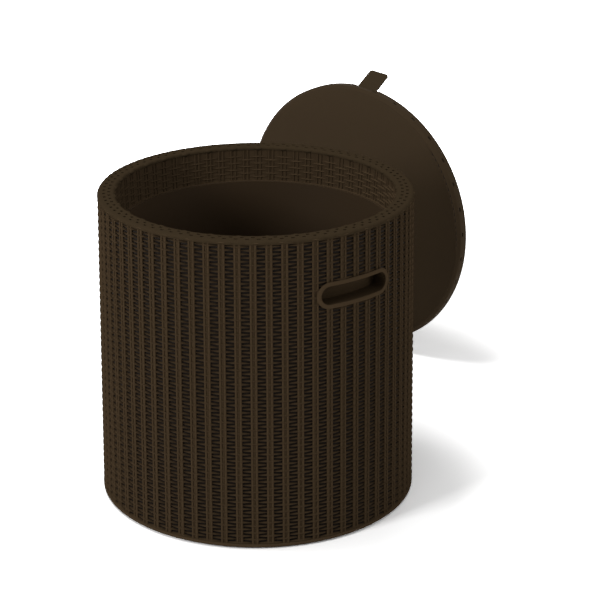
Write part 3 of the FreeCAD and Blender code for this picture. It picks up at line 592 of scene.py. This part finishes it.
# Pieces
class ICETABLE_OT_wall(bpy.types.Operator):
    """The moulded wall, set back between the plain foot band and the rim"""

    bl_idname = "ice_table.wall"
    bl_label = "Wall"

    def execute(self, context):
        weave = context.scene.ice_table_weave
        low = shell_low[2] + weave.foot_band
        high = rim_level - rim_round - TINY * 2
        ledge = 0.0003
        groove = 0.0026
        rim_sink = 0.0026
        rim_squeeze = 0.25
        mouth_low = band_level + 0.0005
        bm = copy_of("outer_shell")
        for level in (low, low + ledge, mouth_low, mouth_low + ledge, high - ledge, high):
            cut_level(bm, level)
        pressed = set()
        outside = set()
        for vertex in bm.verts:
            radius = math.hypot(vertex.co.x, vertex.co.y)
            level = vertex.co.z
            on_side = radius > wall_radius(level) - groove
            if low + ledge - TINY < level < high - ledge + TINY and on_side:
                shift = (wall_radius(level) - weave.relief) / radius - 1
                outside.add(vertex)
            elif mouth_low + ledge - TINY < level < high - ledge + TINY and radius < mouth_radius + TINY:
                shift = weave.mouth_relief / radius
                pressed.add(vertex)
            elif level > high + TINY:
                middle = (rim_radius + mouth_radius) / 2
                shift = (middle - radius) * rim_squeeze / radius
                vertex.co.z -= rim_sink
            else:
                continue
            vertex.co.x *= 1 + shift
            vertex.co.y *= 1 + shift
        # Faces of the set-back wall take the dark gap finish, painted shade behind the strands.
        for face in bm.faces:
            face.material_index = int(all(vertex in outside for vertex in face.verts))
        moved = [vertex for vertex in bm.verts if vertex in outside or vertex in pressed]
        bmesh.ops.remove_doubles(bm, verts=moved, dist=TINY)
        bmesh.ops.dissolve_degenerate(bm, dist=0.000005, edges=bm.edges)
        piece = finish_piece(bm, "wall", "tub", "wicker_plastic", second="polypropylene_in_the_gaps_painted_shade")
        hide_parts("outer_shell")
        return {"FINISHED"}


class ICETABLE_OT_rim(bpy.types.Operator):
    """The flat plaited rim with its two rows of dimples and the knots of its inner edge"""

    bl_idname = "ice_table.rim"
    bl_label = "Rim"

    def execute(self, context):
        rim = context.scene.ice_table_rim
        per_dimple = 6
        steps = rim.dimples * per_dimple
        outer_row = rim_radius - 0.0090
        inner_row = rim_radius - 0.0155
        rows = ((outer_row, 0), (inner_row, per_dimple // 2))
        half_row = 0.0018
        skirt = 0.0012
        round_angles = (0, 30, 60, 90)
        bm = bmesh.new()
        places = [(rim_radius, rim_level - rim_round - skirt)]
        for angle in round_angles:
            turn = math.radians(angle)
            places.append((rim_radius - rim_round + rim_round * math.cos(turn),
                           rim_level - rim_round + rim_round * math.sin(turn)))
        for radius, _ in rows:
            places.append((radius + half_row, rim_level))
            places.append((radius - half_row, rim_level))
        for angle in reversed(round_angles):
            turn = math.radians(angle)
            places.append((mouth_radius + rim_round - rim_round * math.cos(turn),
                           rim_level - rim_round + rim_round * math.sin(turn)))
        places.append((mouth_radius, rim_level - rim_round - skirt))
        verts = [bm.verts.new((radius, 0, level)) for radius, level in places]
        edges = [bm.edges.new(pair) for pair in zip(verts, verts[1:])]
        bmesh.ops.spin(bm, geom=verts + edges, cent=(0, 0, 0), axis=AXIS, dvec=(0, 0, 0),
                       angle=FULL_TURN, steps=steps, use_merge=True)
        bmesh.ops.remove_doubles(bm, verts=bm.verts, dist=0.00001)
        bmesh.ops.recalc_face_normals(bm, faces=bm.faces)
        top_up = sum(1 if face.normal.z > 0 else -1 for face in bm.faces)
        if top_up < 0:
            bmesh.ops.reverse_faces(bm, faces=bm.faces)
        for vertex in bm.verts:
            radius = math.hypot(vertex.co.x, vertex.co.y)
            wave = 1 - abs(math.sin(math.atan2(vertex.co.y, vertex.co.x) * rim.dimples / 2))
            if radius > rim_radius - rim_round + TINY:
                shift = -wave * rim.scallop / radius
            elif radius < mouth_radius + rim_round - TINY:
                shift = wave * rim.scallop / radius
            else:
                continue
            vertex.co.x *= 1 + shift
            vertex.co.y *= 1 + shift
        dimples = []
        for face in bm.faces:
            centre = face.calc_center_median()
            step = int((math.atan2(centre.y, centre.x) % FULL_TURN) / FULL_TURN * steps)
            for radius, first in rows:
                in_row = abs(math.hypot(centre.x, centre.y) - radius) < half_row / 2
                if in_row and (step - first) % per_dimple < 2:
                    dimples.append(face)
        bmesh.ops.inset_region(bm, faces=dimples, thickness=0.0003, depth=-rim.dimple_depth,
                               use_even_offset=True)
        # The dimples take the dark gap finish, painted shade in their hollows.
        for face in dimples:
            face.material_index = 1
        # The rim and its knots take the rim finish, darkened as painted shade.
        finish_piece(bm, "plaited_rim", "tub", "wicker_plastic", first="plaited_polypropylene_painted_shade",
                     second="polypropylene_in_the_gaps_painted_shade")

        knot_width = 0.0068
        knot_height = 0.0056
        knot_inset = 0.0020
        knot_sink = 0.0029
        knots = bmesh.new()
        made = bmesh.ops.create_uvsphere(knots, u_segments=12, v_segments=8, radius=0.5)["verts"]
        bmesh.ops.scale(knots, verts=made, vec=(knot_width, rim.knot_length, knot_height))
        bmesh.ops.translate(knots, verts=made,
                            vec=(mouth_radius + knot_inset, 0, rim_level - knot_sink))
        repeat_round(knots, whole(knots), rim.knots)
        finish_piece(knots, "rim_knots", "tub", "wicker_plastic", first="plaited_polypropylene_painted_shade")
        return {"FINISHED"}


class ICETABLE_OT_stakes(bpy.types.Operator):
    """Pairs of upright stakes with a web between them, from the foot band to the rim"""

    bl_idname = "ice_table.stakes"
    bl_label = "Stakes"

    def execute(self, context):
        weave = context.scene.ice_table_weave
        low = shell_low[2] + weave.foot_band
        high = rim_level - rim_round + 0.0005
        half = weave.stake_width / 2
        bm = bmesh.new()
        for side, sink in ((1, 0), (-1, 0), (0, weave.web_sink)):
            stake = bmesh.ops.create_cone(bm, cap_ends=True, segments=8, radius1=half, radius2=half,
                                          depth=high - low)["verts"]
            out = rim_radius - weave.stake_sink - half - sink
            bmesh.ops.translate(bm, verts=stake,
                                vec=(out, side * weave.stake_spacing / 2, (low + high) / 2))
        past_fitting = 0.008
        for low_corner, high_corner in ((drain_low, drain_high), (cup_low, cup_high)):
            cut_level(bm, low_corner[2] - past_fitting)
            cut_level(bm, high_corner[2] + past_fitting)
        repeat_round(bm, whole(bm), weave.pairs)
        follow_wall(bm)
        cut_fittings(bm)
        finish_piece(bm, "stakes", "tub", "wicker_plastic", smooth_angle=60.0)
        return {"FINISHED"}


class ICETABLE_OT_strands(bpy.types.Operator):
    """Pointed strands across the stakes, every other pair half a pitch higher"""

    bl_idname = "ice_table.strands"
    bl_label = "Strands"

    def execute(self, context):
        weave = context.scene.ice_table_weave
        low = shell_low[2] + weave.foot_band + weave.strand_height * 0.55
        high = rim_level - 0.0016 - weave.strand_height * 0.5
        rows = int((high - low) / weave.strand_pitch) + 1
        pitch = (high - low) / (rows - 0.5)
        for name, first in (("strands_even", 0), ("strands_odd", 1)):
            bm = make_strand(weave.strand_length, weave.strand_height, weave.relief)
            wrap(bm, rim_radius)
            bmesh.ops.rotate(bm, verts=bm.verts, cent=(0, 0, 0),
                             matrix=Matrix.Rotation(FULL_TURN * first / weave.pairs, 3, "Z"))
            bmesh.ops.translate(bm, verts=bm.verts, vec=(0, 0, low + pitch / 2 * first))
            repeat_round(bm, whole(bm), weave.pairs // 2)
            repeat_up(bm, whole(bm), rows, pitch)
            follow_wall(bm)
            cut_fittings(bm)
            finish_piece(bm, name, "tub", "wicker_plastic", smooth_angle=70.0)
        return {"FINISHED"}


class ICETABLE_OT_mouth(bpy.types.Operator):
    """The weave inside the mouth, down to where the inner tub begins"""

    bl_idname = "ice_table.mouth"
    bl_label = "Mouth weave"

    def execute(self, context):
        weave = context.scene.ice_table_weave
        low = band_level + 0.0005
        high = rim_level - rim_round + 0.0005
        half = weave.stake_width / 2
        slope = mouth_radius - band_radius(band_level)
        stake_gap = 0.0004
        strand_share = 0.88
        bm = bmesh.new()
        for side in (1, -1):
            stake = bmesh.ops.create_cone(bm, cap_ends=True, segments=8, radius1=half, radius2=half,
                                          depth=high - low)["verts"]
            bmesh.ops.translate(bm, verts=stake, vec=(mouth_radius + half + stake_gap,
                                                      side * weave.stake_spacing / 2, (low + high) / 2))
        repeat_round(bm, whole(bm), weave.pairs)
        rows = int((high - low) / weave.strand_pitch)
        for first in (0, 1):
            strand = make_strand(weave.strand_length * strand_share, weave.strand_height,
                                 weave.mouth_relief)
            for vertex in strand.verts:
                vertex.co.x = -vertex.co.x
            bmesh.ops.reverse_faces(strand, faces=strand.faces)
            wrap(strand, mouth_radius)
            bmesh.ops.rotate(strand, verts=strand.verts, cent=(0, 0, 0),
                             matrix=Matrix.Rotation(FULL_TURN * first / weave.pairs, 3, "Z"))
            bmesh.ops.translate(strand, verts=strand.verts,
                                vec=(0, 0, low + weave.strand_pitch * (0.5 + first / 2)))
            repeat_round(strand, whole(strand), weave.pairs // 2)
            repeat_up(strand, whole(strand), rows - first, weave.strand_pitch)
            mesh = bpy.data.meshes.new("mouth_strands")
            strand.to_mesh(mesh)
            strand.free()
            bm.from_mesh(mesh)
            bpy.data.meshes.remove(mesh)
        for vertex in bm.verts:
            share = (high - vertex.co.z) / (high - low)
            shrink = 1 - slope * share / mouth_radius
            vertex.co.x *= shrink
            vertex.co.y *= shrink
        finish_piece(bm, "mouth_weave", "tub", "wicker_plastic", smooth_angle=70.0)
        return {"FINISHED"}


class ICETABLE_OT_pockets(bpy.types.Operator):
    """The two finger pockets, their frames rounded"""

    bl_idname = "ice_table.pockets"
    bl_label = "Finger pockets"

    def execute(self, context):
        frame_round = 0.0009
        near_wall = 0.001
        for side in ("right", "left"):
            node = "handle_cup_" + side
            bm = copy_of(node)
            bmesh.ops.dissolve_limit(bm, angle_limit=math.radians(3), verts=bm.verts, edges=bm.edges)
            front = [e for e in bm.edges
                     if len(e.link_faces) == 2
                     and e.calc_face_angle(0) > math.radians(50)
                     and all(math.hypot(v.co.x, v.co.y) > wall_radius(v.co.z) + near_wall for v in e.verts)]
            bmesh.ops.bevel(bm, geom=front, offset=frame_round, segments=3, profile=0.5, affect="EDGES",
                            clamp_overlap=True, material=-1)
            # Faces inside the cup take the darker cup finish, painted shade in the pocket.
            for face in bm.faces:
                centre = face.calc_center_median()
                on_frame = math.hypot(centre.x, centre.y) > wall_radius(centre.z) - near_wall
                face.material_index = int(on_frame)
            piece = finish_piece(bm, "finger_pocket_" + side, "tub", "handle_plastic",
                                 second="moulded_polypropylene")
            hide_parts(node)
        return {"FINISHED"}


class ICETABLE_OT_drain(bpy.types.Operator):
    """The plain round pad under the drain's nut"""

    bl_idname = "ice_table.drain"
    bl_label = "Drain pad"

    def execute(self, context):
        level = (drain_high[2] + drain_low[2]) / 2
        pad_round = 0.0006
        behind_wall = 0.0005
        front = wall_radius(level) - pad_round
        back = wall_radius(level) - context.scene.ice_table_weave.relief - behind_wall
        bm = bmesh.new()
        bmesh.ops.create_cone(bm, cap_ends=True, segments=64, radius1=drain_pad_radius(),
                              radius2=drain_pad_radius(), depth=front - back)
        bmesh.ops.rotate(bm, verts=bm.verts, cent=(0, 0, 0), matrix=Matrix.Rotation(math.pi / 2, 3, "X"))
        bmesh.ops.translate(bm, verts=bm.verts, vec=(0, (front + back) / 2, level))
        rim_edges = [e for e in bm.edges if all(v.co.y > front - TINY for v in e.verts)]
        bmesh.ops.bevel(bm, geom=rim_edges, offset=pad_round, segments=2, profile=0.5, affect="EDGES",
                        material=-1)
        finish_piece(bm, "drain_pad", "tub", "wicker_plastic")
        return {"FINISHED"}


class ICETABLE_OT_lid(bpy.types.Operator):
    """The lid's cover with the notches round its side"""

    bl_idname = "ice_table.lid"
    bl_label = "Lid"

    def execute(self, context):
        lid = context.scene.ice_table_lid
        bm = copy_of("lid_cover")
        bmesh.ops.transform(bm, verts=bm.verts, matrix=lid_placing.inverted())
        bmesh.ops.dissolve_limit(bm, angle_limit=math.radians(0.05), verts=bm.verts, edges=bm.edges)
        radius = max(math.hypot(v.co.x, v.co.y) for v in bm.verts)
        self.slope_edge(bm, lid, radius)

        def side_faces():
            return [f for f in bm.faces if abs(f.normal.z) < 0.1
                    and math.hypot(f.calc_center_median().x, f.calc_center_median().y) > radius - 0.001]

        def side_geometry():
            return with_corners(side_faces())

        wall_width = 0.0004
        first_share = 0.7
        low = lid.notch_level - lid.notch_width / 2
        high = lid.notch_level + lid.notch_width / 2
        cut_level(bm, low, side_geometry())
        cut_level(bm, high, side_geometry())
        half = lid.notch_length / 2 / radius
        middles = [FULL_TURN * (number + first_share) / lid.notches for number in range(lid.notches)]
        for middle in middles:
            for angle in (middle - half, middle + half):
                outward = Vector((-math.sin(angle), math.cos(angle), 0))
                bmesh.ops.bisect_plane(bm, geom=side_geometry(), plane_co=(0, 0, 0), plane_no=outward)
        notches = []
        for face in side_faces():
            centre = face.calc_center_median()
            angle = math.atan2(centre.y, centre.x)
            off = min(abs((angle - middle + math.pi) % FULL_TURN - math.pi) for middle in middles)
            if off < half and low < centre.z < high:
                notches.append(face)
        bmesh.ops.inset_region(bm, faces=notches, thickness=wall_width, depth=-lid.notch_depth,
                               use_even_offset=True)
        # The notches take the dark gap finish, painted shade in their hollows.
        for face in notches:
            face.material_index = 1
        bmesh.ops.transform(bm, verts=bm.verts, matrix=lid_placing)
        piece = finish_piece(bm, "lid_top", "lid", "lid_plastic", smooth_angle=30.0,
                             second="polypropylene_in_the_gaps_painted_shade")
        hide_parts("lid_cover")
        return {"FINISHED"}

    def slope_edge(self, bm, lid, radius):
        """Turns the rounding of the table top's edge into a slope, a small step below the top."""
        top = [f for f in bm.faces if f.normal.z > 0.9 and f.calc_center_median().z > lid_height - TINY]
        walls = bmesh.ops.inset_region(bm, faces=top, thickness=TINY * 2)["faces"]
        # The step's wall takes the dark gap finish, a painted shade line round the table top.
        for face in walls:
            face.material_index = 1
        inner = radius - lid_round
        for vertex in bm.verts:
            reach = math.hypot(vertex.co.x, vertex.co.y)
            out = reach - inner
            up = lid_round - (lid_height - vertex.co.z)
            if min(out, up) > -TINY and abs(math.hypot(out, up) - lid_round) < TINY:
                share = 1 - math.atan2(up, out) / (math.pi / 2)
                grow = (inner + lid_round * share) / reach
                vertex.co.x *= grow
                vertex.co.y *= grow
                vertex.co.z = lid_height - lid.step - (lid.edge_height - lid.step) * share
        bm.normal_update()


class ICETABLE_OT_plain_parts(bpy.types.Operator):
    """Finishes of the CAD parts that keep their own shape"""

    bl_idname = "ice_table.plain_parts"
    bl_label = "Plain parts"

    def execute(self, context):
        for part in frame["record"]["subparts"]:
            mesh = frame["nodes"][part["node"]].data
            mesh.materials.clear()
            mesh.materials.append(finish(SLOTS[part["material_slot"]]))
        return {"FINISHED"}


class ICETABLE_OT_stage(bpy.types.Operator):
    """Pale floor, soft studio light and the camera of the photograph"""

    bl_idname = "ice_table.stage"
    bl_label = "Stage"

    def execute(self, context):
        stage = context.scene.ice_table_stage
        self.lay_floor()
        self.hang_sky(context, stage)
        for name, power, place, size in (
                ("top_lamp", stage.top_power, (-0.53, -0.36, 3.0), 0.8),
                ("left_lamp", stage.left_power, (0.1, -2.7, 1.4), 0.7),
                ("right_lamp", stage.right_power, (2.5, 1.1, 1.3), 0.9),
                ("back_lamp", stage.back_power, (-2.4, 2.6, 2.2), 1.4)):
            self.add_lamp(name, power, place, size)
        data = bpy.data.cameras.new("camera")
        data.lens = stage.lens
        data.sensor_width = 36
        camera = bpy.data.objects.new("camera", data)
        camera.location = stage.camera_place
        camera.rotation_euler = Vector(stage.camera_aim).to_track_quat("-Z", "Y").to_euler()
        context.scene.collection.objects.link(camera)
        context.scene.camera = camera
        context.scene.view_settings.view_transform = "Standard"
        return {"FINISHED"}

    def lay_floor(self):
        """A wide white floor that keeps the object's shadow and stays white far away."""
        floor_size = 12
        floor_near = 0.9
        floor_far = 4.0
        far_gain = 8
        bm = bmesh.new()
        bmesh.ops.create_grid(bm, x_segments=1, y_segments=1, size=floor_size)
        mesh = bpy.data.meshes.new("floor")
        bm.to_mesh(mesh)
        bm.free()
        floor = bpy.data.objects.new("floor", mesh)
        bpy.context.scene.collection.objects.link(floor)
        material, tree, surface = new_finish("white_floor", "#F2F2F2", 0.9, specular=0.0)
        rays = add_node(tree, "ShaderNodeLightPath")
        seen = add_node(tree, "ShaderNodeMath",
                        {0: rays.outputs["Is Camera Ray"], 1: rays.outputs["Is Glossy Ray"]},
                        operation="MAXIMUM")
        gain = bpy.context.scene.ice_table_stage.floor_gain
        place = add_node(tree, "ShaderNodeTexCoord")
        distance = add_node(tree, "ShaderNodeVectorMath", {0: place.outputs["Object"]},
                            operation="LENGTH")
        lit = add_node(tree, "ShaderNodeMapRange",
                       {"Value": distance.outputs["Value"], "From Min": floor_near,
                        "From Max": floor_far, "To Min": gain, "To Max": gain * far_gain})
        colour = add_node(tree, "ShaderNodeMix",
                          {"Factor": seen.outputs["Value"], "A": linear("#F2F2F2"),
                           "B": lit.outputs["Result"]}, data_type="RGBA")
        tree.links.new(colour.outputs["Result"], surface.inputs["Base Color"])
        mesh.materials.append(material)

    def hang_sky(self, context, stage):
        """An even sky that the camera and reflections see as white."""
        world = bpy.data.worlds.new("sky")
        world.use_nodes = True
        tree = world.node_tree
        rays = add_node(tree, "ShaderNodeLightPath")
        seen = add_node(tree, "ShaderNodeMath",
                        {0: rays.outputs["Is Camera Ray"], 1: rays.outputs["Is Glossy Ray"]},
                        operation="MAXIMUM")
        seen = add_node(tree, "ShaderNodeMath",
                        {0: seen.outputs["Value"], 1: rays.outputs["Is Transmission Ray"]},
                        operation="MAXIMUM")
        strength = add_node(tree, "ShaderNodeMapRange",
                            {"Value": seen.outputs["Value"], "To Min": stage.sky, "To Max": 1.0})
        background = tree.nodes["Background"]
        background.inputs["Color"].default_value = (1, 1, 1, 1)
        tree.links.new(strength.outputs["Result"], background.inputs["Strength"])
        context.scene.world = world

    def add_lamp(self, name, power, place, size):
        """A square soft lamp that points at the tub."""
        data = bpy.data.lights.new(name, "AREA")
        data.energy = power
        data.size = size
        lamp = bpy.data.objects.new(name, data)
        lamp.location = place
        aim = tub_middle - lamp.location
        lamp.rotation_euler = aim.to_track_quat("-Z", "Y").to_euler()
        bpy.context.scene.collection.objects.link(lamp)


PIECES = (
    ICETABLE_OT_wall,
    ICETABLE_OT_rim,
    ICETABLE_OT_stakes,
    ICETABLE_OT_strands,
    ICETABLE_OT_mouth,
    ICETABLE_OT_pockets,
    ICETABLE_OT_drain,
    ICETABLE_OT_lid,
    ICETABLE_OT_plain_parts,
    ICETABLE_OT_stage,
)


class ICETABLE_PT_panel(bpy.types.Panel):
    """Buttons and sizes of the ice bucket coffee table"""

    bl_idname = "ICETABLE_PT_panel"
    bl_label = "Ice bucket coffee table"
    bl_space_type = "VIEW_3D"
    bl_region_type = "UI"
    bl_category = "Ice Table"

    def draw(self, context):
        for operator in PIECES:
            self.layout.operator(operator.bl_idname)
        for name in GROUPS:
            group = getattr(context.scene, name)
            for key in group.bl_rna.properties.keys():
                if key not in ("rna_type", "name"):
                    self.layout.prop(group, key)


GROUPS = {
    "ice_table_weave": WeaveSizes,
    "ice_table_rim": RimSizes,
    "ice_table_lid": LidSizes,
    "ice_table_stage": StageSizes,
    "ice_table_colours": Colours,
}


def register():
    for group in GROUPS.values():
        bpy.utils.register_class(group)
    for name, group in GROUPS.items():
        setattr(bpy.types.Scene, name, bpy.props.PointerProperty(type=group))
    for operator in PIECES:
        bpy.utils.register_class(operator)
    bpy.utils.register_class(ICETABLE_PT_panel)


def unregister():
    bpy.utils.unregister_class(ICETABLE_PT_panel)
    for operator in reversed(PIECES):
        bpy.utils.unregister_class(operator)
    for name in GROUPS:
        delattr(bpy.types.Scene, name)
    for group in reversed(GROUPS.values()):
        bpy.utils.unregister_class(group)


def main():
    register()
    for operator in PIECES:
        module, name = operator.bl_idname.split(".")
        getattr(getattr(bpy.ops, module), name)()


if __name__ == "__main__":
    main()
